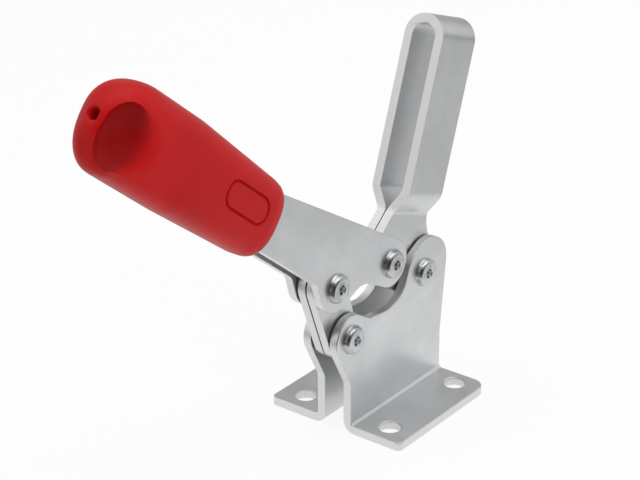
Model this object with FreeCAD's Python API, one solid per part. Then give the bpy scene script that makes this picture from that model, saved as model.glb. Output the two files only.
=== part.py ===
import FreeCAD, Part
import math
import os

os.makedirs("parts", exist_ok=True)

# Horizontal hold-down toggle clamp, drawn open. X runs forward, the way the arm points when it
# is down, Z is up, and Y runs across. The origin is the middle of the four bolt holes, on the
# face that the clamp is bolted down to. The near side is the side of negative Y.

# Stock and the layers across the clamp
sheet = 2.5
plate_gap = 6.1
leg_gap = 0.3
slot_width = 7.2

# Base brackets
bolt_hole_d = 6.0
bolt_spacing_x = 30.6
bolt_spacing_y = 28.6
base_rear = 21.2
base_front = 20.6
flange_reach = 21.7
flange_front_corner_r = 4.0
flange_rear_corner_r = 1.6
bend_inside_r = 1.0

# Pivots of the base
arm_pivot = (12.5, 35.3)
link_pivot = (-20.4, 28.3)

# Side outline of a base plate, above its bend
arm_lobe_r = 8.2
arm_lobe_front_r = 8.4
arm_lobe_front_shift = (2.3, 0.9)
link_lobe_r = 6.8
scoop_r = 9.0
scoop_centre = (-4.4, 39.5)
scoop_tail_r = 3.1
scoop_tail_centre = (-11.4, 34.4)
front_waist_r = 9.0
front_waist_height = 13.5
rear_waist_r = 4.0
rear_waist_height = 14.0

# Clamp arm, a strip on edge bent into a U. S runs from its pivot to its closed end, H is its
# height above the pivot when the arm is down.
arm_open_angle = 70.1
arm_length = 69.5
strip_bottom = 0.6
strip_width = 16.2
crank_pivot = (2.7, 17.1)
crank_lobe_r = 6.7
leg_lobe_r = 7.5
leg_tail = 10.0
leg_neck_bottom = (17.0, 9.0)
leg_neck_top = (17.2, 2.5)
joggle_start = 15.2
joggle_end = 22.6
joggle_r = 2.2

# Links
link_length = 18.7
link_end_r = 6.2

# Handle plates. T runs from the link pivot towards the tip of the grip, N is square to it, up.
handle_crank_pivot = (-20.1, 13.6)
handle_crank_lobe_r = 6.7
handle_link_lobe_r = 6.7
handle_notch_r = 7.1
handle_notch_centre = (-15.1, -1.3)
handle_heel_r = 4.0
handle_heel_start = 9.7
handle_bottom = -2.3
tang_top = 11.6
tang_knee_r = 20.0
tang_knee_start = 49.0
tang_end = 84.0
tang_corner_r = 5.0

# Grip. Its T starts at the mouth.
grip_start = 37.9
grip_middle = 5.7
grip_length = 69.9
grip_height = 24.2
grip_taper = 3.2
grip_swell_at = 36.0
grip_swell_r = 70.0
grip_width = 16.4
grip_edge_r = 8.0
grip_flat = 0.1
grip_tip_top_r = 13.0
grip_tip_flat = 0.4
grip_mouth_bevel = 1.6
grip_lead = 8.0
thumb_dish_r = 7.4
thumb_dish_depth = 5.2
thumb_dish_at = (66.4, -2.4)
thumb_dish_fade = 33.0
finger_dish_r = 9.2
finger_dish_depth = 3.3
finger_dish_at = (61.5, -2.0)
finger_dish_fade = 15.0
tip_hole_d = 2.6
tip_hole_depth = 4.0
frame_middle = 15.6
frame_length = 18.6
frame_height = 7.1
frame_corner_r = 3.4
frame_line = 0.75
frame_depth = 0.35

# Rivets
rivet_d = 4.6
rivet_head_d = 8.2
rivet_head_height = 1.7
rivet_head_taper = 0.9
rivet_dimple_d = 3.2
rivet_dimple_depth = 0.9
running_clearance = 0.05
window_clearance = 0.25

plate_inner = plate_gap / 2
plate_outer = plate_inner + sheet
leg_inner = leg_gap / 2
leg_outer = leg_inner + sheet
slot_half = slot_width / 2
bar_half = slot_half + sheet
big = 200.0


# Plane frames: a point drawn as (u, v) goes to X and Z of the clamp.

def frame(origin, angle, side):
    a = math.radians(angle)
    return origin, (math.cos(a), math.sin(a)), side


def to_clamp(fr, u, v):
    (ox, oz), (cx, cz), side = fr
    return ox + u * cx - side * v * cz, oz + u * cz + side * v * cx


def base_frame():
    return frame((0.0, 0.0), 0.0, 1)


# Outlines: a belt run round circles, with a straight between each two. A circle with turn 1 is
# a rounded corner or lobe, one with turn -1 is a hollow, and a radius of 0 is a sharp corner.

def belt_normal(a, b):
    dx = b[0] - a[0]
    dz = b[1] - a[1]
    q = (b[3] * b[2] - a[3] * a[2]) / math.hypot(dx, dz)
    return math.atan2(dz, dx) + math.acos(q)


def belt_point(c, m, y, fr):
    x, z = to_clamp(fr, c[0] - c[3] * c[2] * math.cos(m), c[1] - c[3] * c[2] * math.sin(m))
    return FreeCAD.Vector(x, y, z)


def belt_edges(circles, y, fr):
    n = len(circles)
    normals = [belt_normal(circles[i], circles[(i + 1) % n]) for i in range(n)]
    edges = []
    for i in range(n):
        here = circles[i]
        m_in = normals[i - 1]
        m_out = normals[i]
        if here[2] > 0:
            turn = (m_out - m_in) * here[3] % (2 * math.pi)
            start = belt_point(here, m_in, y, fr)
            middle = belt_point(here, m_in + here[3] * turn / 2, y, fr)
            end = belt_point(here, m_out, y, fr)
            edges.append(Part.Arc(start, middle, end).toShape())
        line_start = belt_point(here, m_out, y, fr)
        line_end = belt_point(circles[(i + 1) % n], m_out, y, fr)
        if line_start.distanceToPoint(line_end) > 1e-4:
            edges.append(Part.LineSegment(line_start, line_end).toShape())
    return edges


def belt_plate(circles, y0, y1, fr):
    wire = Part.Wire(Part.__sortEdges__(belt_edges(circles, y0, fr)))
    return Part.Face(wire).extrude(FreeCAD.Vector(0, y1 - y0, 0))


def cross_bar(r, y0, y1, x, z):
    return Part.makeCylinder(r, y1 - y0, FreeCAD.Vector(x, y0, z), FreeCAD.Vector(0, 1, 0))


def mirrored(shape):
    return shape.mirror(FreeCAD.Vector(0, 0, 0), FreeCAD.Vector(0, 1, 0))


# The open pose of the linkage

def meeting_point(p, rp, q, rq):
    d = math.hypot(q[0] - p[0], q[1] - p[1])
    along = (rp * rp - rq * rq + d * d) / (2 * d)
    off = math.sqrt(rp * rp - along * along)
    ux = (q[0] - p[0]) / d
    uz = (q[1] - p[1]) / d
    return p[0] + along * ux - off * uz, p[1] + along * uz + off * ux


def direction(p, q):
    return math.degrees(math.atan2(q[1] - p[1], q[0] - p[0]))


def turned(p, about, angle):
    a = math.radians(angle)
    dx = p[0] - about[0]
    dz = p[1] - about[1]
    return (about[0] + dx * math.cos(a) - dz * math.sin(a),
            about[1] + dx * math.sin(a) + dz * math.cos(a))


handle_reach = math.hypot(*handle_crank_pivot)
arm_frame = frame(arm_pivot, arm_open_angle, 1)
crank = to_clamp(arm_frame, *crank_pivot)
joint = meeting_point(link_pivot, link_length, crank, handle_reach)
link_frame = frame(link_pivot, direction(link_pivot, joint), 1)
handle_angle = direction(joint, crank) + math.degrees(
    math.atan2(handle_crank_pivot[1], handle_crank_pivot[0]))
handle_frame = frame(joint, handle_angle, -1)


# Closing: the links and the handle come into one line behind the crank pivot.

def closing_turns():
    base_length = math.hypot(arm_pivot[0] - link_pivot[0], arm_pivot[1] - link_pivot[1])
    crank_length = math.hypot(*crank_pivot)
    reach = link_length + handle_reach
    cosine = (base_length ** 2 + crank_length ** 2 - reach ** 2) / (2 * base_length * crank_length)
    crank_closed = direction(arm_pivot, link_pivot) - math.degrees(math.acos(cosine))
    arm_turn = (crank_closed - direction(arm_pivot, crank) + 180) % 360 - 180
    crank_there = turned(crank, arm_pivot, arm_turn)
    line = direction(link_pivot, crank_there)
    link_turn = line - direction(link_pivot, joint)
    handle_turn = line - direction(joint, crank)
    return arm_turn, link_turn, handle_turn


# Base brackets: a plate on edge with its foot folded outwards, one on each side.

def bracket_section():
    bend_y = plate_outer + bend_inside_r
    bend_z = sheet + bend_inside_r
    outside_r = bend_inside_r + sheet
    half = math.sqrt(0.5)

    def at(y, z):
        return FreeCAD.Vector(-big / 2, -y, z)

    edges = [
        Part.LineSegment(at(flange_reach, 0), at(bend_y, 0)).toShape(),
        Part.Arc(at(bend_y, 0), at(bend_y - outside_r * half, bend_z - outside_r * half),
                 at(plate_inner, bend_z)).toShape(),
        Part.LineSegment(at(plate_inner, bend_z), at(plate_inner, big)).toShape(),
        Part.LineSegment(at(plate_inner, big), at(plate_outer, big)).toShape(),
        Part.LineSegment(at(plate_outer, big), at(plate_outer, bend_z)).toShape(),
        Part.Arc(at(plate_outer, bend_z),
                 at(bend_y - bend_inside_r * half, bend_z - bend_inside_r * half),
                 at(bend_y, sheet)).toShape(),
        Part.LineSegment(at(bend_y, sheet), at(flange_reach, sheet)).toShape(),
        Part.LineSegment(at(flange_reach, sheet), at(flange_reach, 0)).toShape(),
    ]
    return Part.Face(Part.Wire(edges)).extrude(FreeCAD.Vector(big, 0, 0))


def bracket_side():
    ax, az = arm_pivot
    bx, bz = link_pivot
    front = (ax + arm_lobe_front_shift[0], az + arm_lobe_front_shift[1])
    circles = [
        (-base_rear, -1.0, 0.0, 1),
        (base_front, -1.0, 0.0, 1),
        (base_front + front_waist_r, front_waist_height, front_waist_r, -1),
        (front[0], front[1], arm_lobe_front_r, 1),
        (ax, az, arm_lobe_r, 1),
        (scoop_centre[0], scoop_centre[1], scoop_r, -1),
        (scoop_tail_centre[0], scoop_tail_centre[1], scoop_tail_r, -1),
        (bx, bz, link_lobe_r, 1),
        (-base_rear - rear_waist_r, rear_waist_height, rear_waist_r, -1),
    ]
    return belt_plate(circles, -big / 2, big / 2, base_frame())


def rounded_flange(solid):
    corners = []
    for edge in solid.Edges:
        v = [p.Point for p in edge.Vertexes]
        if len(v) == 2 and abs(v[0].x - v[1].x) < 0.01 and abs(v[0].y - v[1].y) < 0.01:
            if abs(v[0].y + flange_reach) < 0.01:
                corners.append(edge)
    for edge in sorted(corners, key=lambda e: e.Vertexes[0].Point.x, reverse=True)[:1]:
        solid = solid.makeFillet(flange_front_corner_r, [edge])
    for edge in solid.Edges:
        v = [p.Point for p in edge.Vertexes]
        if len(v) == 2 and abs(v[0].x + base_rear) < 0.01 and abs(v[1].x + base_rear) < 0.01:
            if abs(v[0].y + flange_reach) < 0.01 and abs(v[1].y + flange_reach) < 0.01:
                return solid.makeFillet(flange_rear_corner_r, [edge])
    return solid


def base_bracket():
    solid = bracket_section().common(bracket_side())
    solid = rounded_flange(solid)
    for sx in (-1, 1):
        at = FreeCAD.Vector(sx * bolt_spacing_x / 2, -bolt_spacing_y / 2, -1)
        solid = solid.cut(Part.makeCylinder(bolt_hole_d / 2, sheet + 2, at))
    for x, z in (arm_pivot, link_pivot):
        solid = solid.cut(cross_bar(rivet_d / 2, -plate_outer - 1, -plate_inner + 1, x, z))
    return solid


# Clamp arm: the hairpin seen from above when the arm is down, then the side outline of its legs.

def hairpin(r_change, half_leg, half_bar, tail):
    low_r = joggle_r + r_change
    high_r = joggle_r + sheet - r_change
    end = arm_length - bar_half
    low_y = leg_outer + joggle_r
    high_y = bar_half - joggle_r - sheet
    circles = [
        (-tail, -half_leg, 0.0, 1),
        (joggle_start, -low_y, low_r, -1),
        (joggle_end, -high_y, high_r, 1),
        (end, 0.0, half_bar, 1),
        (joggle_end, high_y, high_r, 1),
        (joggle_start, low_y, low_r, -1),
        (-tail, half_leg, 0.0, 1),
    ]
    edges = belt_edges(circles, 0.0, frame((0.0, 0.0), 0.0, 1))
    face = Part.Face(Part.Wire(Part.__sortEdges__(edges)))
    face.rotate(FreeCAD.Vector(0, 0, 0), FreeCAD.Vector(1, 0, 0), -90)
    face.translate(FreeCAD.Vector(0, 0, -big / 2))
    return face.extrude(FreeCAD.Vector(0, 0, big))


def leg_side():
    top = strip_bottom + strip_width
    neck_s, neck_r = leg_neck_bottom
    rise_s, rise_r = leg_neck_top
    circles = [
        (0.0, 0.0, leg_lobe_r, 1),
        (neck_s, strip_bottom - neck_r, neck_r, -1),
        (arm_length + 5, strip_bottom, 0.0, 1),
        (arm_length + 5, top, 0.0, 1),
        (rise_s, top + rise_r, rise_r, -1),
        (crank_pivot[0], crank_pivot[1], crank_lobe_r, 1),
    ]
    return belt_plate(circles, -big / 2, big / 2, frame((0.0, 0.0), 0.0, 1))


def window_path():
    arm_turn, link_turn, handle_turn = closing_turns()
    path = []
    for i in range(1, 10):
        f = i / 10
        joint_there = turned(joint, link_pivot, link_turn * f)
        crank_there = turned(crank, arm_pivot, arm_turn * f)
        shifted = (joint_there[0] + crank[0] - joint[0], joint_there[1] + crank[1] - joint[1])
        pin = turned(shifted, joint_there, handle_turn * f)
        dx = pin[0] - crank_there[0]
        dz = pin[1] - crank_there[1]
        a = math.radians(-arm_open_angle - arm_turn * f)
        path.append((dx * math.cos(a) - dz * math.sin(a), dx * math.sin(a) + dz * math.cos(a)))
    return path


def rivet_window():
    r = rivet_d / 2 + window_clearance
    x, z = crank_pivot
    window = cross_bar(r, -bar_half, bar_half, x, z)
    for dx, dz in window_path():
        length = math.hypot(dx, dz)
        stadium = [(x, z, r, 1), (x + dx, z + dz, r, 1)]
        if length > 0.2:
            window = window.fuse(belt_plate(stadium, -bar_half, bar_half, base_frame()))
    return window


def u_bar_arm():
    inside = hairpin(sheet, leg_inner, slot_half, leg_tail + 1)
    solid = hairpin(0.0, leg_outer, bar_half, leg_tail).cut(inside).common(leg_side())
    solid = solid.cut(cross_bar(rivet_d / 2 + running_clearance, -bar_half, bar_half, 0.0, 0.0))
    solid = solid.cut(rivet_window())
    solid.rotate(FreeCAD.Vector(0, 0, 0), FreeCAD.Vector(0, 1, 0), -arm_open_angle)
    solid.translate(FreeCAD.Vector(arm_pivot[0], 0, arm_pivot[1]))
    return solid


# Links, one on each side of the middle

def near_link():
    circles = [(0.0, 0.0, link_end_r, 1), (link_length, 0.0, link_end_r, 1)]
    solid = belt_plate(circles, -leg_outer, -leg_inner, link_frame)
    for x, z in (link_pivot, joint):
        hole = cross_bar(rivet_d / 2 + running_clearance, -leg_outer - 1, 0.0, x, z)
        solid = solid.cut(hole)
    return solid


# Handle plates, each with a tang inside the grip

def handle_circles():
    heel = (handle_heel_start, handle_bottom - handle_heel_r, handle_heel_r, -1)
    corner_t = tang_end - tang_corner_r
    cx, cz = handle_crank_pivot
    return [
        (0.0, 0.0, handle_link_lobe_r, 1),
        heel,
        (corner_t, handle_bottom + tang_corner_r, tang_corner_r, 1),
        (corner_t, tang_top - tang_corner_r, tang_corner_r, 1),
        (tang_knee_start, tang_top + tang_knee_r, tang_knee_r, -1),
        (cx, cz, handle_crank_lobe_r, 1),
        (handle_notch_centre[0], handle_notch_centre[1], handle_notch_r, -1),
    ]


def near_handle_plate():
    solid = belt_plate(handle_circles(), -plate_outer, -plate_inner, handle_frame)
    for x, z in (crank, joint):
        solid = solid.cut(cross_bar(rivet_d / 2, -plate_outer - 1, 0.0, x, z))
    return solid


# Grip: the side outline across the full width, with its long edges and its tip rounded in one
# go, then cut square at the mouth. The lead is what is cut off there.

def grip_lead_half():
    return (grip_height - grip_taper * (grip_swell_at + grip_lead) / grip_swell_at) / 2


def grip_tip_bottom_r():
    return grip_height - grip_tip_top_r - grip_tip_flat


def grip_side():
    half = grip_height / 2
    lead_half = grip_lead_half()
    low = grip_tip_bottom_r()
    high = grip_tip_top_r
    circles = [
        (-grip_lead, -lead_half, 0.0, 1),
        (grip_swell_at, grip_swell_r - half, grip_swell_r, 1),
        (grip_length - low, low - half, low, 1),
        (grip_length - high, half - high, high, 1),
        (grip_swell_at, half - grip_swell_r, grip_swell_r, 1),
        (-grip_lead, lead_half, 0.0, 1),
    ]
    return belt_plate(circles, -grip_width / 2, grip_width / 2, base_frame())


def grip_body():
    solid = grip_side()
    long_edges = []
    for edge in solid.Edges:
        ends = [v.Point for v in edge.Vertexes]
        on_one_side = all(abs(p.y - ends[0].y) < 0.01 for p in ends)
        if on_one_side and max(p.x for p in ends) > 0.01 - grip_lead:
            long_edges.append(edge)
    wall = min(grip_width / 2, grip_lead_half(), grip_tip_bottom_r()) - grip_flat
    solid = solid.makeFillet(min(grip_edge_r, wall), long_edges)
    lead_corner = FreeCAD.Vector(-grip_lead - 1, -big / 2, -big / 2)
    solid = solid.cut(Part.makeBox(grip_lead + 1, big, big, lead_corner))
    mouth = [e for e in solid.Edges if all(abs(v.Point.x) < 0.01 for v in e.Vertexes)]
    return solid.makeChamfer(grip_mouth_bevel, mouth)


def dish(side, at, r, depth, fade_angle):
    t, n = at
    centre = FreeCAD.Vector(t, side * (grip_width / 2 + r - depth), n)
    fade = math.radians(fade_angle)
    out = FreeCAD.Vector(-math.cos(fade), side * math.sin(fade), 0)
    run = Part.makeCylinder(r, grip_length / 2, centre, out)
    return Part.makeSphere(r, centre).fuse(run)


def frame_line_prism(grow):
    r = frame_corner_r + grow
    u = frame_length / 2 - frame_corner_r
    v = frame_height / 2 - frame_corner_r
    circles = [(-u, -v, r, 1), (u, -v, r, 1), (u, v, r, 1), (-u, v, r, 1)]
    fr = frame((frame_middle, 0.0), 0.0, 1)
    return belt_plate(circles, grip_width / 2 - frame_depth, grip_width, fr)


def to_handle(solid):
    solid.translate(FreeCAD.Vector(grip_start, 0, grip_middle))
    solid.rotate(FreeCAD.Vector(0, 0, 0), FreeCAD.Vector(0, 0, 1), 180)
    solid.rotate(FreeCAD.Vector(0, 0, 0), FreeCAD.Vector(0, 1, 0), 180 - handle_angle)
    solid.translate(FreeCAD.Vector(joint[0], 0, joint[1]))
    return solid


def grip_sleeve():
    body = grip_body()
    body = body.cut(dish(1, thumb_dish_at, thumb_dish_r, thumb_dish_depth, thumb_dish_fade))
    body = body.cut(dish(-1, finger_dish_at, finger_dish_r, finger_dish_depth,
                         finger_dish_fade))
    tip = FreeCAD.Vector(grip_length - tip_hole_depth, 0, 0)
    body = body.cut(Part.makeCylinder(tip_hole_d / 2, tip_hole_depth + 1, tip,
                                      FreeCAD.Vector(1, 0, 0)))
    body = body.cut(frame_line_prism(0.0).cut(frame_line_prism(-frame_line)))
    body = to_handle(body)
    tangs = belt_plate(handle_circles(), -plate_outer, plate_outer, handle_frame)
    return body.cut(tangs)


# Rivets: turned from a shank right across and a tapered, dimpled head at both ends.

def rivet(x, z):
    shank = rivet_d / 2
    rim = rivet_head_d / 2
    face = rim - rivet_head_taper
    dimple = rivet_dimple_d / 2
    end = plate_outer + rivet_head_height
    floor = end - rivet_dimple_depth
    half = [(0, floor), (dimple, end), (face, end), (rim, plate_outer), (shank, plate_outer)]
    profile = half + [(r, -y) for r, y in reversed(half)]
    points = [FreeCAD.Vector(r, y, 0) for r, y in profile + half[:1]]
    solid = Part.Face(Part.makePolygon(points)).revolve(
        FreeCAD.Vector(0, 0, 0), FreeCAD.Vector(0, 1, 0), 360)
    solid.translate(FreeCAD.Vector(x, 0, z))
    return solid


bracket = base_bracket()
link = near_link()
handle_plate = near_handle_plate()

nodes = {
    "near_base_bracket": bracket,
    "far_base_bracket": mirrored(bracket),
    "u_bar_arm": u_bar_arm(),
    "near_link": link,
    "far_link": mirrored(link),
    "near_handle_plate": handle_plate,
    "far_handle_plate": mirrored(handle_plate),
    "grip_sleeve": grip_sleeve(),
    "arm_base_rivet": rivet(*arm_pivot),
    "link_base_rivet": rivet(*link_pivot),
    "arm_handle_rivet": rivet(*crank),
    "link_handle_rivet": rivet(*joint),
}

for name, shape in nodes.items():
    shape.exportStep("parts/" + name + ".step")
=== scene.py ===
import math

import bmesh
import bpy
from mathutils import Matrix, Vector


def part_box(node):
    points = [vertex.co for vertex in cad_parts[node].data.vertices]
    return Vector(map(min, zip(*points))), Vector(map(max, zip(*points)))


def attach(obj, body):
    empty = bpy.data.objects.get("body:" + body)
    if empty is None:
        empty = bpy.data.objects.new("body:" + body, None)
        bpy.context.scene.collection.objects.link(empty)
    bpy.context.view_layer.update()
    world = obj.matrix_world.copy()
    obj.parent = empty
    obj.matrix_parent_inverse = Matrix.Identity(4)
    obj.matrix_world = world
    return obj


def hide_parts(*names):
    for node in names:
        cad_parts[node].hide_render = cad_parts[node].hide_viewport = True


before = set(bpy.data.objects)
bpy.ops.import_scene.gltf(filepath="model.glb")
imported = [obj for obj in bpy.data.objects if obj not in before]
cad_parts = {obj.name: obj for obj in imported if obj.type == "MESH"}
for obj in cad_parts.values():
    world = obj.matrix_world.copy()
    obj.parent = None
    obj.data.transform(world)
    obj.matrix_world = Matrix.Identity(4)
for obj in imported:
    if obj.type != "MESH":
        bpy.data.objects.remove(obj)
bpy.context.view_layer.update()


# Base brackets. Each is one blank of 2.5 mm mild steel sheet, blanked and pierced in a press,
# its foot folded outwards over a 1 mm radius, then plated with bright zinc. The press leaves the
# edges rolled over on one side and torn on the other.

class Wire:
    """A socket of a material that can be used in sums."""

    def __init__(self, tree, socket=None):
        self.tree = tree
        self.socket = socket

    def node(self, kind, settings=None, inputs=None, out=0):
        made = self.tree.nodes.new(kind)
        for key, value in (settings or {}).items():
            setattr(made, key, value)
        for key, value in (inputs or {}).items():
            if isinstance(value, Wire):
                self.tree.links.new(value.socket, made.inputs[key])
            else:
                made.inputs[key].default_value = value
        return Wire(self.tree, made.outputs[out])

    def math(self, operation, a, b=0.0):
        return self.node("ShaderNodeMath", {"operation": operation}, {0: a, 1: b})

    def __add__(self, other):
        return self.math("ADD", self, other)

    def __sub__(self, other):
        return self.math("SUBTRACT", self, other)

    def __rsub__(self, other):
        return self.math("SUBTRACT", other, self)

    def __mul__(self, other):
        return self.math("MULTIPLY", self, other)

    __radd__ = __add__
    __rmul__ = __mul__

    def spread(self, low, high, to_low=0.0, to_high=1.0):
        return self.node("ShaderNodeMapRange", {"interpolation_type": "SMOOTHSTEP"},
                         {0: self, 1: low, 2: high, 3: to_low, 4: to_high})

    def between(self, first, second):
        return self.node("ShaderNodeMix", {"data_type": "RGBA"},
                         {0: self, 6: first, 7: second}, 2)


def open_material(name):
    """A new material, its starting wire and its surface shader."""
    material = bpy.data.materials.new(name)
    material.use_nodes = True
    tree = material.node_tree
    tree.nodes.clear()
    shader = tree.nodes.new("ShaderNodeBsdfPrincipled")
    output = tree.nodes.new("ShaderNodeOutputMaterial")
    tree.links.new(shader.outputs[0], output.inputs[0])
    return material, Wire(tree), shader


def connect(wire, shader, socket):
    wire.tree.links.new(wire.socket, shader.inputs[socket])


def zinc_plating(name, grain_turn, face, cut_edge_highlight, gloss):
    """Bright zinc on pressed sheet: rolling grain, faint mottling and fine scratches, with the
    torn and burnished bands of the press on the cut edges. The cut edges are coloured lighter
    than the faces, which is a painted highlight."""
    material, wire, shader = open_material(name)
    place = wire.node("ShaderNodeTexCoord", out=3)
    turned = wire.node("ShaderNodeMapping", inputs={0: place, 2: (0.0, grain_turn, 0.0)})

    def noise(stretch, scale, detail, roughness=0.5):
        along = wire.node("ShaderNodeVectorMath", {"operation": "MULTIPLY"},
                          {0: turned, 1: stretch})
        return wire.node("ShaderNodeTexNoise", inputs={
            "Vector": along, "Scale": scale, "Detail": detail, "Roughness": roughness})

    grain = noise((0.06, 1.0, 1.0), 1900.0, 3.0)
    cloud = noise((1.0, 1.0, 1.0), 75.0, 3.0, 0.6)
    fleck = noise((1.0, 1.0, 1.0), 900.0, 2.0, 0.7)
    scratch_line = noise((1.0, 1.0, 3.5), 120.0, 1.0)
    scratch_patch = noise((1.0, 1.0, 1.0), 45.0, 1.0)
    near_line = wire.math("ABSOLUTE", scratch_line - 0.5)
    scratch = near_line.spread(0.0, 0.006, 1.0, 0.0) * scratch_patch.spread(0.5, 0.66)
    tear = noise((1.0, 0.09, 1.0), 2400.0, 2.0, 0.6)
    cut = wire.node("ShaderNodeAttribute", {"attribute_name": "cut"}, out=2)

    lighter = [min(1.0, c * 1.06) for c in face]
    darker = [c * 0.94 for c in face]
    sheet = cloud.spread(0.32, 0.68).between((*darker, 1), (*lighter, 1))
    sheet = (fleck.spread(0.6, 0.72) * 0.22).between(sheet, (*lighter, 1))
    sheet = (grain.spread(0.3, 0.75) * 0.25).between(sheet, (*darker, 1))
    # Cut edges: a lighter colour that is a painted highlight, with the torn bands of the press as
    # texture in it.
    edge = tear.spread(0.3, 0.7).between((*[c * 0.93 for c in cut_edge_highlight], 1), (*cut_edge_highlight, 1))
    connect(cut.between(sheet, edge), shader, "Base Color")

    sheet_rough = gloss + 0.05 * (cloud - 0.5) + 0.08 * (grain - 0.5) + 0.12 * scratch
    edge_rough = gloss + 0.08 + 0.16 * (tear - 0.5)
    rough = cut * edge_rough + (1.0 - cut) * sheet_rough
    connect(rough, shader, "Roughness")
    shader.inputs["Metallic"].default_value = 0.9

    height = (1.0 - cut) * (0.4 * grain + 0.25 * fleck - 0.6 * scratch) + cut * tear * 0.8
    bump = wire.node("ShaderNodeBump", inputs={
        "Strength": 0.3, "Distance": 0.00003, "Height": height})
    connect(bump, shader, "Normal")
    return material


def pressed_piece(node, body, name, ease, is_cut, material, in_triangles=False):
    """A merged copy of a pressed piece, with its edges eased and its cut edges marked."""
    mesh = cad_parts[node].data.copy()
    mesh.name = name
    work = bmesh.new()
    work.from_mesh(mesh)
    bmesh.ops.remove_doubles(work, verts=work.verts, dist=2e-6)
    bmesh.ops.dissolve_limit(work, angle_limit=math.radians(0.3), verts=work.verts,
                             edges=work.edges)
    if in_triangles:
        bmesh.ops.triangulate(work, faces=[f for f in work.faces if len(f.verts) > 4],
                              ngon_method="EAR_CLIP")
    layer = work.faces.layers.float.new("cut")
    for face in work.faces:
        face.normal_update()
        face.smooth = True
        face[layer] = 1.0 if is_cut(face.normal, face.calc_center_median()) else 0.0
    work.to_mesh(mesh)
    work.free()
    mesh.materials.clear()
    mesh.materials.append(material)
    piece = bpy.data.objects.new(name, mesh)
    bpy.context.scene.collection.objects.link(piece)
    eased = piece.modifiers.new("eased edges", "BEVEL")
    eased.width = ease
    eased.segments = 3
    eased.limit_method = "ANGLE"
    eased.angle_limit = math.radians(32)
    even = piece.modifiers.new("flat faces", "WEIGHTED_NORMAL")
    even.keep_sharp = False
    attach(piece, body)
    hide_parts(node)
    return piece


bend_end = 0.0036
plate_outside = 0.0061
foot_inside = 0.0066
press_edge = 0.00032
cut_slope = 0.7
bracket_zinc = zinc_plating("bracket zinc", 0.0, (0.66, 0.668, 0.675), (0.76, 0.765, 0.77), 0.31)


def bracket_cut(normal, place):
    if place.z > bend_end and abs(place.y) < plate_outside:
        return abs(normal.y) < cut_slope
    if abs(place.y) > foot_inside:
        return abs(normal.z) < cut_slope
    return abs(normal.x) > cut_slope


near_bracket = pressed_piece("near_base_bracket", "base", "near_bracket_plate", press_edge,
                             bracket_cut, bracket_zinc)
far_bracket = pressed_piece("far_base_bracket", "base", "far_bracket_plate", press_edge,
                            bracket_cut, bracket_zinc)


# Clamp arm. One strip of the same sheet, 16 mm wide, is blanked flat with its four pivot lobes
# at the ends, bent on edge round a former into a long U, joggled in to two legs, and plated.

arm_pivot = Vector((0.0125, 0.0, 0.0353))
arm_open = math.radians(70.1)
lobes_end = 0.0145
arm_edge = 0.0003
arm_along = Vector((math.cos(arm_open), 0.0, math.sin(arm_open)))
arm_up = Vector((-math.sin(arm_open), 0.0, math.cos(arm_open)))
arm_zinc = zinc_plating("arm zinc", arm_open, (0.65, 0.658, 0.665), (0.78, 0.785, 0.79), 0.31)


def arm_cut(normal, place):
    if (place - arm_pivot).dot(arm_along) < lobes_end:
        return abs(normal.y) < cut_slope
    return abs(normal.dot(arm_up)) > cut_slope


arm = pressed_piece("u_bar_arm", "arm", "bent_strip_arm", arm_edge, arm_cut, arm_zinc, True)


# Links. Two short flat bars with round ends, blanked and pierced from the same sheet, one on
# each side of the middle, between the base plates and the handle plates.

link_edge = 0.00028
link_grain_turn = 1.2


def flat_cut(normal, place):
    return abs(normal.y) < cut_slope


link_zinc = zinc_plating("link zinc", link_grain_turn, (0.65, 0.658, 0.665),
                         (0.76, 0.765, 0.77), 0.31)
near_bar = pressed_piece("near_link", "links", "near_link_bar", link_edge, flat_cut, link_zinc)
far_bar = pressed_piece("far_link", "links", "far_link_bar", link_edge, flat_cut, link_zinc)


# Handle plates. Two like blanks of the same sheet, notched between their two lobes, with the
# long tangs that the grip is moulded on to.

handle_angle = math.radians(140.7)
handle_edge = 0.0003
handle_zinc = zinc_plating("handle zinc", handle_angle, (0.66, 0.668, 0.675),
                           (0.78, 0.785, 0.79), 0.31)
near_side = pressed_piece("near_handle_plate", "handle", "near_handle_side", handle_edge,
                          flat_cut, handle_zinc)
far_side = pressed_piece("far_handle_plate", "handle", "far_handle_side", handle_edge,
                         flat_cut, handle_zinc)


# Grip. A soft red moulding on the two tangs, thicker towards its tip, with a thumb dish on both
# sides, a small core hole in the tip and a bare label frame sunk into the near side.

joint = Vector((-0.0268286, 0.0, 0.0458603))
grip_t = Vector((math.cos(handle_angle), 0.0, math.sin(handle_angle)))
grip_n = Vector((math.sin(handle_angle), 0.0, -math.cos(handle_angle)))
grip_start = 0.0369
grip_middle = 0.0057
grip_length = 0.0723
upper_height = (0.0097, 0.0119)
lower_height = (0.0109, 0.0120)
half_width = (0.0078, 0.0082)
swell_length = 0.038
mouth_round = (0.0040, 0.0020)
tip_round_top = 0.0150
tip_round_bottom = 0.0100
tip_round_side = (0.0100, 0.0150)
section_power = 2.6
hole_r = 0.0015
hole_at = (-0.0004, -0.0012)
hole_depth = 0.0040
hole_lean = 0.0022
pocket_depth = 0.0110
label_middle = 0.0166
label_half = (0.0091, 0.0034)
label_corner = 0.0033
label_line = (0.00040, 0.00075)
thumb_dish = {"at": (0.0672, -0.0036), "r": 0.0070, "depth": 0.0062, "fade": 38.0, "long": 1.40}
finger_dish = {"at": (0.0625, -0.0020), "r": 0.0092, "depth": 0.0033, "fade": 15.0, "long": 1.0}
dish_side = 0.0082
dish_rim = (0.0005, 0.0019, 0.010)
dish_full = 0.0042


def round_end(left, length):
    return 1.0 if left >= length else math.sqrt(1.0 - ((length - left) / length) ** 2)


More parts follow.
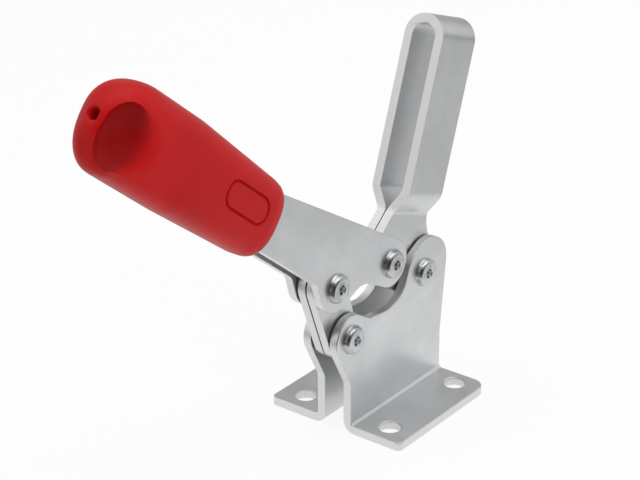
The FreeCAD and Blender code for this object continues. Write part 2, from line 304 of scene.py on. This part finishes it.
def label_groove(t, n):
    """How deep the label frame is sunk at this place."""
    u = max(abs(t - label_middle) - (label_half[0] - label_corner), 0.0)
    v = max(abs(n) - (label_half[1] - label_corner), 0.0)
    inside = min(max(abs(t - label_middle) - (label_half[0] - label_corner),
                     abs(n) - (label_half[1] - label_corner)), 0.0)
    off = abs(math.hypot(u, v) + inside - label_corner)
    return label_line[1] * max(0.0, 1.0 - (off / label_line[0]) ** 2)


def hollowed(t, n, depth, dish):
    """A point of the side, as distance out from the middle, after a dish is pressed into it. The
    dish is a ball, drawn out across the grip, that runs out towards the mouth. Its rim is crisp
    at the tip and softer towards the mouth."""
    fade = math.radians(dish["fade"])
    core = Vector((dish["at"][0], dish["at"][1], dish_side + dish["r"] - dish["depth"]))
    run = Vector((-math.cos(fade), 0.0, math.sin(fade)))
    point = Vector((t, core.y + (n - core.y) / dish["long"], depth))
    axis = core + run * max(0.0, (point - core).dot(run))
    away = point - axis
    crisp, gentle, reach = dish_rim
    soft = crisp + (gentle - crisp) * min(1.0, max(0.0, (core.x - t) / reach))
    inside = dish["r"] - away.length
    if inside > -soft:
        push = inside if inside >= soft else (inside + soft) ** 2 / (4.0 * soft)
        point += away.normalized() * push
    return Vector((point.x, core.y + (point.y - core.y) * dish["long"], point.z))


def grip_point(t, n, y):
    return joint + grip_t * (grip_start + t) + grip_n * (grip_middle + n) + Vector((0.0, y, 0.0))


def grip_ring(t, turns):
    """One ring of points round the grip. How far each is pressed in is added to sunk."""
    swell = min(t / swell_length, 1.0)
    pinch = mouth_round[1] * (1.0 - round_end(t, mouth_round[0]))
    width = half_width[0] + swell * (half_width[1] - half_width[0]) - pinch
    left = grip_length - t
    ring = []
    for a in turns:
        c = abs(math.cos(a)) ** (2.0 / section_power)
        s = abs(math.sin(a)) ** (2.0 / section_power)
        end, side = ((tip_round_top, upper_height) if math.sin(a) > 0 else
                     (tip_round_bottom, lower_height))
        height = side[0] + swell * (side[1] - side[0]) - pinch
        n = math.copysign(s * height * round_end(left, end), math.sin(a))
        near = math.cos(a) > 0.0
        across = c * width * round_end(left, tip_round_side[0 if near else 1])
        y = -across if near else across
        place = hollowed(t, n, abs(y), thumb_dish if near else finger_dish)
        sunk.append(min(1.0, (Vector((t, n, abs(y))) - place).length / dish_full))
        out = place.z - (label_groove(t, n) if near else 0.0)
        lean = min(1.0, max(0.0, 1.0 - left / hole_lean)) ** 2
        ring.append(grip_point(place.x, place.y + hole_at[0] * lean,
                               (-out if near else out) + hole_at[1] * lean))
    return ring


near_fine = math.radians(17.0)
fine_turns = [-near_fine + 2.0 * near_fine * i / 56 for i in range(56)]
rest_turns = [near_fine + (2.0 * math.pi - 2.0 * near_fine) * i / 110 for i in range(110)]
turns = fine_turns + rest_turns

stations = [mouth_round[0] * (1.0 - math.cos(math.radians(9.0 * i))) for i in range(8)]
stations += [0.0044 + 0.0007 * i for i in range(2)]
stations += [0.0063 + 0.000165 * i for i in range(126)]
stations += [0.0273 + 0.0009 * i for i in range(23)]
stations += [0.0474 + 0.00045 * i for i in range(20)]
stations += [grip_length - tip_round_side[1] * (1.0 - math.sin(math.radians(2.0 + 2.6 * i)))
             for i in range(31)]
sunk = []
rings = [grip_ring(t, turns) for t in stations]


def round_ring(t, r):
    return [grip_point(t, hole_at[0] + r * math.sin(a), hole_at[1] - r * math.cos(a))
            for a in turns]


def mouth_ring(t, half_n, half_y):
    ring = []
    for a in turns:
        n = math.copysign(abs(math.sin(a)) ** 0.3 * half_n, math.sin(a))
        y = math.copysign(abs(math.cos(a)) ** 0.3 * half_y, -math.cos(a))
        ring.append(grip_point(t, n, y))
    return ring


rings.append(round_ring(grip_length - 0.00030, hole_r + 0.00022))
rings.append(round_ring(grip_length - 0.00045, hole_r + 0.00006))
rings.append(round_ring(grip_length - 0.00075, hole_r - 0.00004))
rings.append(round_ring(grip_length - hole_depth, hole_r - 0.0004))
rings.insert(0, mouth_ring(0.0, 0.0066, 0.0034))
rings.insert(0, mouth_ring(0.0004, 0.0064, 0.0030))
rings.insert(0, mouth_ring(pocket_depth, 0.0062, 0.0029))
sunk = [0.0] * (3 * len(turns)) + sunk + [0.0] * (4 * len(turns))

shape = bmesh.new()
rows = [[shape.verts.new(p) for p in ring] for ring in rings]
for row, following in zip(rows, rows[1:]):
    for i in range(len(turns)):
        j = (i + 1) % len(turns)
        shape.faces.new((row[i], row[j], following[j], following[i]))
shape.faces.new(rows[0])
shape.faces.new(list(reversed(rows[-1])))
bmesh.ops.recalc_face_normals(shape, faces=shape.faces)
for face in shape.faces:
    face.smooth = True
grip_mesh = bpy.data.meshes.new("moulded_grip")
shape.to_mesh(grip_mesh)
shape.free()
grip_mesh.attributes.new("sunk", "FLOAT", "POINT").data.foreach_set("value", sunk)

red, wire, shader = open_material("grip red")
place = wire.node("ShaderNodeTexCoord", out=3)
cloud = wire.node("ShaderNodeTexNoise", inputs={"Vector": place, "Scale": 60.0, "Detail": 3.0})
skin = wire.node("ShaderNodeTexNoise", inputs={"Vector": place, "Scale": 2600.0, "Detail": 2.0})
flow = wire.node("ShaderNodeTexNoise", inputs={"Vector": place, "Scale": 220.0, "Detail": 4.0})
colour = cloud.spread(0.3, 0.7).between((0.48, 0.003, 0.004, 1), (0.54, 0.006, 0.007, 1))
# The dishes are coloured a darker red the deeper they are pressed in. This is painted shade in
# the recesses, not a colour of the moulding.
dish_shade_mask = wire.node("ShaderNodeAttribute", {"attribute_name": "sunk"}, out=2)
dish_painted_shade_red = (0.28, 0.0003, 0.0004, 1)
colour = dish_shade_mask.spread(0.05, 1.0, 0.0, 0.9).between(colour, dish_painted_shade_red)
connect(colour, shader, "Base Color")
connect(0.40 + 0.10 * (cloud - 0.5) + 0.14 * (flow - 0.5), shader, "Roughness")
skin_bump = wire.node("ShaderNodeBump", inputs={
    "Strength": 0.35, "Distance": 0.00004, "Height": skin * 0.6 + flow * 0.8})
connect(skin_bump, shader, "Normal")
shader.inputs["Specular IOR Level"].default_value = 0.15
grip_mesh.materials.append(red)
grip = bpy.data.objects.new("moulded_grip", grip_mesh)
bpy.context.scene.collection.objects.link(grip)
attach(grip, "handle")
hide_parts("grip_sleeve")


# Rivets. Four plain steel rivets run right across and are set from both ends, so each head has a
# rounded shoulder, a flat face and a round dimple from the tool, with a small raised rim.

seat_y = 0.00555
shank_r = 0.0023
head_sides = 64
head_outline = [(0.0, 0.00062), (0.0004, 0.00060), (0.00095, 0.00058), (0.00112, 0.00062),
                (0.00120, 0.00074), (0.00128, 0.00142), (0.00133, 0.00160), (0.00142, 0.00170),
                (0.00156, 0.00174), (0.00176, 0.00172), (0.00200, 0.00166), (0.0024, 0.00165),
                (0.0029, 0.00168), (0.00312, 0.00166), (0.00334, 0.00158), (0.00352, 0.00144),
                (0.00366, 0.00124), (0.00376, 0.00100), (0.00386, 0.00060), (0.00394, 0.00020),
                (0.00400, 0.00008), (0.00406, 0.00002), (0.00400, -0.00020), (0.0, -0.0003)]

outline_curve = bpy.data.curves.new("rivet head outline", "CURVE")
outline_curve.dimensions = "3D"
line = outline_curve.splines.new("POLY")
line.points.add(len(head_outline) - 1)
for point, (r, h) in zip(line.points, head_outline):
    point.co = (r, -h, 0.0, 1.0)
outline_object = bpy.data.objects.new("rivet head outline", outline_curve)
bpy.context.scene.collection.objects.link(outline_object)


def rivet_tree(material):
    """Heads at the points given, each facing away from the middle, and the shanks."""
    tree = bpy.data.node_groups.new("set rivets", "GeometryNodeTree")
    tree.interface.new_socket("Geometry", in_out="INPUT", socket_type="NodeSocketGeometry")
    tree.interface.new_socket("Head outline", in_out="INPUT", socket_type="NodeSocketObject")
    tree.interface.new_socket("Shank radius", in_out="INPUT", socket_type="NodeSocketFloat")
    tree.interface.new_socket("Shank length", in_out="INPUT", socket_type="NodeSocketFloat")
    tree.interface.new_socket("Sides", in_out="INPUT", socket_type="NodeSocketInt")
    tree.interface.new_socket("Geometry", in_out="OUTPUT", socket_type="NodeSocketGeometry")

    def add(kind, settings=None, inputs=None):
        made = tree.nodes.new(kind)
        for key, value in (settings or {}).items():
            setattr(made, key, value)
        for key, value in (inputs or {}).items():
            if isinstance(value, bpy.types.NodeSocket):
                tree.links.new(value, made.inputs[key])
            else:
                made.inputs[key].default_value = value
        return made

    given = add("NodeGroupInput")
    outline = add("GeometryNodeObjectInfo", inputs={"Object": given.outputs["Head outline"]})
    turn = add("GeometryNodeCurvePrimitiveCircle", inputs={
        "Resolution": given.outputs["Sides"], "Radius": 1e-7})
    head = add("GeometryNodeCurveToMesh", inputs={
        "Curve": turn.outputs["Curve"], "Profile Curve": outline.outputs["Geometry"]})
    closed = add("GeometryNodeMergeByDistance", inputs={
        "Geometry": head.outputs["Mesh"], "Distance": 2e-6})
    spot = add("GeometryNodeInputPosition")
    parts = add("ShaderNodeSeparateXYZ", inputs={0: spot.outputs[0]})
    side = add("ShaderNodeMath", {"operation": "SIGN"}, {0: parts.outputs["Y"]})
    outward = add("ShaderNodeCombineXYZ", inputs={1: side.outputs[0]})
    facing = add("FunctionNodeAlignRotationToVector", {"axis": "Z"},
                 {"Vector": outward.outputs[0]})
    heads = add("GeometryNodeInstanceOnPoints", inputs={
        "Points": given.outputs["Geometry"], "Instance": closed.outputs["Geometry"],
        "Rotation": facing.outputs["Rotation"]})
    shank = add("GeometryNodeMeshCylinder", inputs={
        "Vertices": given.outputs["Sides"], "Radius": given.outputs["Shank radius"],
        "Depth": given.outputs["Shank length"]})
    centre = add("ShaderNodeCombineXYZ", inputs={0: parts.outputs["X"], 2: parts.outputs["Z"]})
    is_near = add("FunctionNodeCompare", {"data_type": "FLOAT", "operation": "LESS_THAN"},
                  {0: parts.outputs["Y"], 1: 0.0})
    is_far = add("FunctionNodeBooleanMath", {"operation": "NOT"}, {0: is_near.outputs[0]})
    on_near = add("GeometryNodeDeleteGeometry", {"domain": "POINT"}, {
        "Geometry": given.outputs["Geometry"], "Selection": is_far.outputs[0]})
    middles = add("GeometryNodeSetPosition", inputs={
        "Geometry": on_near.outputs[0], "Position": centre.outputs[0]})
    shanks = add("GeometryNodeInstanceOnPoints", inputs={
        "Points": middles.outputs["Geometry"], "Instance": shank.outputs["Mesh"],
        "Rotation": (math.radians(90.0), 0.0, 0.0)})
    both = add("GeometryNodeJoinGeometry")
    tree.links.new(heads.outputs["Instances"], both.inputs[0])
    tree.links.new(shanks.outputs["Instances"], both.inputs[0])
    real = add("GeometryNodeRealizeInstances", inputs={"Geometry": both.outputs[0]})
    smooth = add("GeometryNodeSetShadeSmooth", inputs={"Geometry": real.outputs["Geometry"]})
    finish = add("GeometryNodeSetMaterial", inputs={
        "Geometry": smooth.outputs["Geometry"], "Material": material})
    result = add("NodeGroupOutput")
    tree.links.new(finish.outputs["Geometry"], result.inputs[0])
    return tree


rivet_zinc, wire, shader = open_material("rivet zinc")
place = wire.node("ShaderNodeTexCoord", out=3)
worn = wire.node("ShaderNodeTexNoise", inputs={"Vector": place, "Scale": 700.0, "Detail": 3.0})
spots = wire.node("ShaderNodeTexNoise", inputs={"Vector": place, "Scale": 260.0, "Detail": 2.0})
colour = spots.spread(0.35, 0.65).between((0.46, 0.47, 0.48, 1), (0.60, 0.61, 0.62, 1))
connect(colour, shader, "Base Color")
connect(0.24 + 0.16 * (worn - 0.5), shader, "Roughness")
shader.inputs["Metallic"].default_value = 1.0
dents = wire.node("ShaderNodeBump", inputs={
    "Strength": 0.35, "Distance": 0.00006, "Height": worn * 0.5 + spots})
connect(dents, shader, "Normal")
set_rivets = rivet_tree(rivet_zinc)


def rivet_pair(name, nodes, body):
    """Both rivets of one body, their heads on the outsides of the plates."""
    seats = []
    for node in nodes:
        low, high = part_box(node)
        middle = (low + high) / 2
        seats += [(middle.x, -seat_y, middle.z), (middle.x, seat_y, middle.z)]
    host_mesh = bpy.data.meshes.new(name + " seats")
    host_mesh.from_pydata(seats, [], [])
    host = bpy.data.objects.new(name + " seats", host_mesh)
    bpy.context.scene.collection.objects.link(host)
    modifier = host.modifiers.new("set rivets", "NODES")
    modifier.node_group = set_rivets
    values = {"Head outline": outline_object, "Shank radius": shank_r,
              "Shank length": 2.0 * seat_y, "Sides": head_sides}
    for item in set_rivets.interface.items_tree:
        if item.in_out == "INPUT" and item.name in values:
            modifier[item.identifier] = values[item.name]
    bpy.context.view_layer.update()
    graph = bpy.context.evaluated_depsgraph_get()
    mesh = bpy.data.meshes.new_from_object(host.evaluated_get(graph))
    bpy.data.objects.remove(host)
    mesh.name = name
    work = bmesh.new()
    work.from_mesh(mesh)
    bmesh.ops.recalc_face_normals(work, faces=work.faces)
    work.to_mesh(mesh)
    work.free()
    piece = bpy.data.objects.new(name, mesh)
    bpy.context.scene.collection.objects.link(piece)
    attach(piece, body)
    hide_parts(*nodes)
    return piece


base_rivets = rivet_pair("base_rivets", ("arm_base_rivet", "link_base_rivet"), "base")
handle_rivets = rivet_pair("handle_rivets", ("arm_handle_rivet", "link_handle_rivet"), "handle")
bpy.data.objects.remove(outline_object)


# Studio. A white floor, two soft lamps and a plain room that is darker on the side of the camera.
# The camera is where the photographer stood, behind the clamp and on its near side.

def lamp(name, place, target, size, power):
    data = bpy.data.lights.new(name, "AREA")
    data.shape = "SQUARE"
    data.size = size
    data.energy = power
    made = bpy.data.objects.new(name, data)
    made.location = place
    made.rotation_euler = (Vector(target) - Vector(place)).to_track_quat("-Z", "Y").to_euler()
    bpy.context.scene.collection.objects.link(made)
    return made


middle = (-0.03, 0.0, 0.06)
lamp("top lamp", (0.10, -0.06, 0.90), middle, 0.90, 3.4)
lamp("side lamp", (-0.25, -0.82, 0.40), middle, 0.50, 2.3).visible_glossy = False

floor_half = 2.0
floor_corners = [(-floor_half, -floor_half, 0.0), (floor_half, -floor_half, 0.0),
                 (floor_half, floor_half, 0.0), (-floor_half, floor_half, 0.0)]
floor_mesh = bpy.data.meshes.new("floor")
floor_mesh.from_pydata(floor_corners, [], [(0, 1, 2, 3)])
floor = bpy.data.objects.new("floor", floor_mesh)
bpy.context.scene.collection.objects.link(floor)
white, wire, shader = open_material("white floor")
shader.inputs["Base Color"].default_value = (0.90, 0.90, 0.90, 1.0)
shader.inputs["Roughness"].default_value = 0.9
path = wire.node("ShaderNodeLightPath").socket.node
camera_ray = Wire(wire.tree, path.outputs["Is Camera Ray"])
seen = wire.math("MAXIMUM", camera_ray, Wire(wire.tree, path.outputs["Is Glossy Ray"]))
seen = wire.math("MAXIMUM", seen, Wire(wire.tree, path.outputs["Is Transmission Ray"]))
# In reflections the floor shows a painted pool of light. Its glow is brightest near the clamp,
# falls off with distance, and is dark ahead of the clamp towards the camera and beside it on the
# near side. Camera rays see the floor evenly white.
spot = wire.node("ShaderNodeTexCoord", out=3)
away = wire.node("ShaderNodeVectorMath", {"operation": "LENGTH"}, {0: spot}, 1)
ahead = wire.node("ShaderNodeVectorMath", {"operation": "DOT_PRODUCT"},
                  {0: spot, 1: (-0.79, -0.61, 0.0)}, 1)
beside = wire.node("ShaderNodeVectorMath", {"operation": "DOT_PRODUCT"},
                   {0: spot, 1: (-0.2, -0.98, 0.0)}, 1)
floor_painted_light = away.spread(0.05, 0.15, 0.97, 0.64)
floor_painted_light = floor_painted_light * ahead.spread(0.055, 0.085, 1.0, 0.06)
floor_painted_light = floor_painted_light * beside.spread(0.17, 0.24, 1.0, 0.15)
pure_white = (1.0, 1.0, 1.0, 1.0)
glow = wire.node("ShaderNodeEmission", inputs={
    "Color": pure_white, "Strength": wire.math("MAXIMUM", camera_ray, floor_painted_light)})
ground = wire.node("ShaderNodeMixShader", inputs={
    0: seen * 0.9, 1: Wire(wire.tree, shader.outputs[0]), 2: glow})
output = next(n for n in wire.tree.nodes if n.bl_idname == "ShaderNodeOutputMaterial")
wire.tree.links.new(ground.socket, output.inputs[0])
floor_mesh.materials.append(white)

world = bpy.data.worlds.new("studio")
bpy.context.scene.world = world
world.use_nodes = True
world.node_tree.nodes.clear()
wire = Wire(world.node_tree)
path = wire.node("ShaderNodeLightPath").socket.node
aim = wire.node("ShaderNodeTexCoord", out=0)


def towards(direction):
    return wire.node("ShaderNodeVectorMath", {"operation": "DOT_PRODUCT"},
                     {0: aim, 1: tuple(Vector(direction).normalized())}, 1)


above = towards((0.0, 0.0, 1.0)).spread(0.1, 0.9)
window = towards((-0.80, 0.58, 0.20)).spread(0.1, 0.85)
near_wall = towards((0.0, -1.0, -0.10)).spread(0.70, 0.97)
opening = towards((-0.82, -0.44, 0.36)).spread(0.70, 0.90)
below = towards((0.0, 0.0, -1.0)).spread(0.0, 0.3)
front_right = towards((0.75, -0.55, 0.40)).spread(0.72, 0.97)
room = 0.41 + 0.10 * above + 0.54 * window + 0.40 * front_right - 0.08 * below
room = room * (1.0 - 0.92 * opening) * (1.0 - 0.82 * near_wall)
soft = wire.node("ShaderNodeBackground", inputs={"Color": pure_white, "Strength": room})
backdrop = wire.node("ShaderNodeBackground", inputs={"Color": pure_white, "Strength": 1.0})
around = wire.node("ShaderNodeMixShader", inputs={
    0: Wire(wire.tree, path.outputs["Is Camera Ray"]), 1: soft, 2: backdrop})
sky = world.node_tree.nodes.new("ShaderNodeOutputWorld")
wire.tree.links.new(around.socket, sky.inputs[0])

back = Vector((-0.715727, -0.555227, 0.423624))
right = Vector((0.610480, -0.792004, -0.006621))
up = Vector((0.339188, 0.253875, 0.905814))
camera_data = bpy.data.cameras.new("camera")
camera_data.sensor_width = 36.0
camera_data.lens = 116.245
camera_data.clip_start = 0.01
camera_data.clip_end = 20.0
camera = bpy.data.objects.new("camera", camera_data)
turn = Matrix((right, up, back)).transposed()
camera.matrix_world = Matrix.Translation((-0.406287, -0.294353, 0.282710)) @ turn.to_4x4()
bpy.context.scene.collection.objects.link(camera)
bpy.context.scene.camera = camera

bpy.context.scene.view_settings.view_transform = "Standard"
